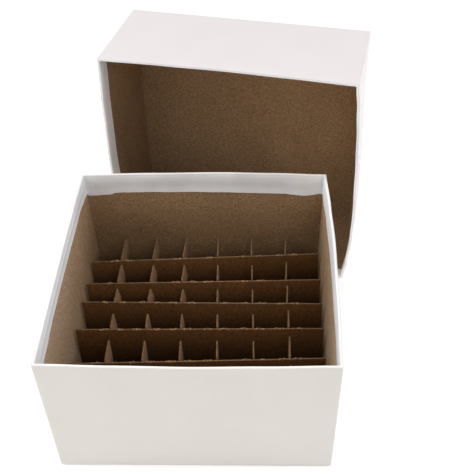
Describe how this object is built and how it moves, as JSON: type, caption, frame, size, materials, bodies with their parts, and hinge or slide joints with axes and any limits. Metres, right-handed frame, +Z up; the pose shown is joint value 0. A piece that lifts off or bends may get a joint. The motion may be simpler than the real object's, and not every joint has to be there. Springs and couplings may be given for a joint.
{
  "type": "cryogenic storage box",
  "caption": "Square paper-wrapped cardboard tray with a slotted strip divider and a separate lid standing behind it.",
  "frame": {"origin": "centre of the tray's underside, on the surface that the tray and the lid stand on", "axes": "+Z up; +Y from the tray towards the lid that stands behind it; +X to the right seen from the tray's front"},
  "size_m": [0.1579, 0.215, 0.1371],
  "materials": {
    "tray_paper": "satin coated white paper, slightly warm",
    "lid_paper": "satin coated white paper",
    "tray_board": "matt unbleached chipboard",
    "lid_board": "matt unbleached chipboard",
    "strip_board": "matt unbleached chipboard with torn fibres on its cut edges",
    "stay_paper": "brown gummed kraft paper"
  },
  "bodies": {
    "base": {"base_back_board": "tray_board", "base_back_wrap": "tray_paper", "base_corner_stays": "stay_paper", "base_floor_board": "tray_board", "base_floor_wrap": "tray_paper", "base_front_board": "tray_board", "base_front_wrap": "tray_paper", "base_left_board": "tray_board", "base_left_wrap": "tray_paper", "base_right_board": "tray_board", "base_right_wrap": "tray_paper"},
    "divider": {"long_strip_1": "strip_board", "long_strip_2": "strip_board", "long_strip_3": "strip_board", "long_strip_4": "strip_board", "long_strip_5": "strip_board", "long_strip_6": "strip_board"},
    "cross_strip_1": {"cross_strip_1": "strip_board"},
    "cross_strip_2": {"cross_strip_2": "strip_board"},
    "cross_strip_3": {"cross_strip_3": "strip_board"},
    "cross_strip_4": {"cross_strip_4": "strip_board"},
    "cross_strip_5": {"cross_strip_5": "strip_board"},
    "cross_strip_6": {"cross_strip_6": "strip_board"},
    "lid": {"lid_corner_stays": "stay_paper", "lid_left_board": "lid_board", "lid_left_wrap": "lid_paper", "lid_lower_board": "lid_board", "lid_lower_wrap": "lid_paper", "lid_right_board": "lid_board", "lid_right_wrap": "lid_paper", "lid_top_board": "lid_board", "lid_top_wrap": "lid_paper", "lid_upper_board": "lid_board", "lid_upper_wrap": "lid_paper"}
  },
  "joints": [
    {"name": "divider_lift", "type": "slide", "parent": "base", "child": "divider", "axis": [0, 0, 1], "range_m": [0, 0.08]},
    {"name": "cross_strip_1_lift", "type": "slide", "parent": "divider", "child": "cross_strip_1", "axis": [0, 0, 1], "range_m": [0, 0.035]},
    {"name": "cross_strip_2_lift", "type": "slide", "parent": "divider", "child": "cross_strip_2", "axis": [0, 0, 1], "range_m": [0, 0.035]},
    {"name": "cross_strip_3_lift", "type": "slide", "parent": "divider", "child": "cross_strip_3", "axis": [0, 0, 1], "range_m": [0, 0.035]},
    {"name": "cross_strip_4_lift", "type": "slide", "parent": "divider", "child": "cross_strip_4", "axis": [0, 0, 1], "range_m": [0, 0.035]},
    {"name": "cross_strip_5_lift", "type": "slide", "parent": "divider", "child": "cross_strip_5", "axis": [0, 0, 1], "range_m": [0, 0.035]},
    {"name": "cross_strip_6_lift", "type": "slide", "parent": "divider", "child": "cross_strip_6", "axis": [0, 0, 1], "range_m": [0, 0.035]},
    {"name": "lid_lift", "type": "slide", "parent": "base", "child": "lid", "axis": [0, 0, 1], "range_m": [0, 0.15]}
  ]
}
